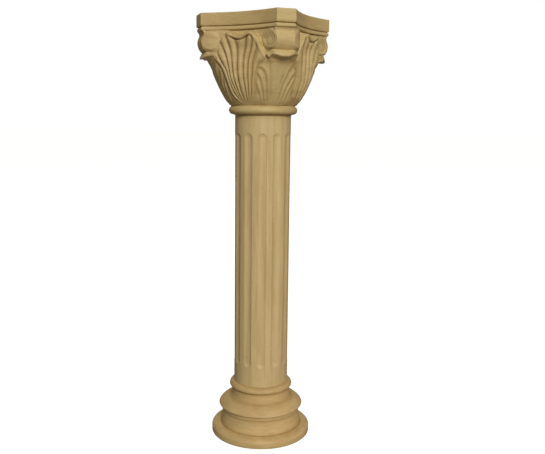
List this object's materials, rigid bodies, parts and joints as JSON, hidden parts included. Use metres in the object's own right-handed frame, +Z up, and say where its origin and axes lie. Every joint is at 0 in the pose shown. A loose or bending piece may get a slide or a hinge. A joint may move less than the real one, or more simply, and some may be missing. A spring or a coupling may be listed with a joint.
{
  "type": "marble column",
  "caption": "Freestanding carved marble column: turned round base, straight fluted shaft, and a capital with leaves, corner scrolls and a concave-sided abacus.",
  "frame": {"origin": "centre of the underside of the round plinth", "axes": "+Z up the column's axis; a concave side of the abacus faces -Y, and its cut corners lie on the diagonals between X and Y"},
  "size_m": [0.5034, 0.5034, 2],
  "materials": {
    "base_marble": "warm yellow-beige marble, honed, slightly darker and yellower than the shaft",
    "shaft_marble": "warm beige marble, honed, with faint upright brownish streaks",
    "capital_marble": "warm beige marble, carved and honed, with faint level streaks in the abacus"
  },
  "bodies": {
    "root": {"base": "base_marble", "shaft": "shaft_marble", "capital": "capital_marble"}
  },
  "joints": []
}
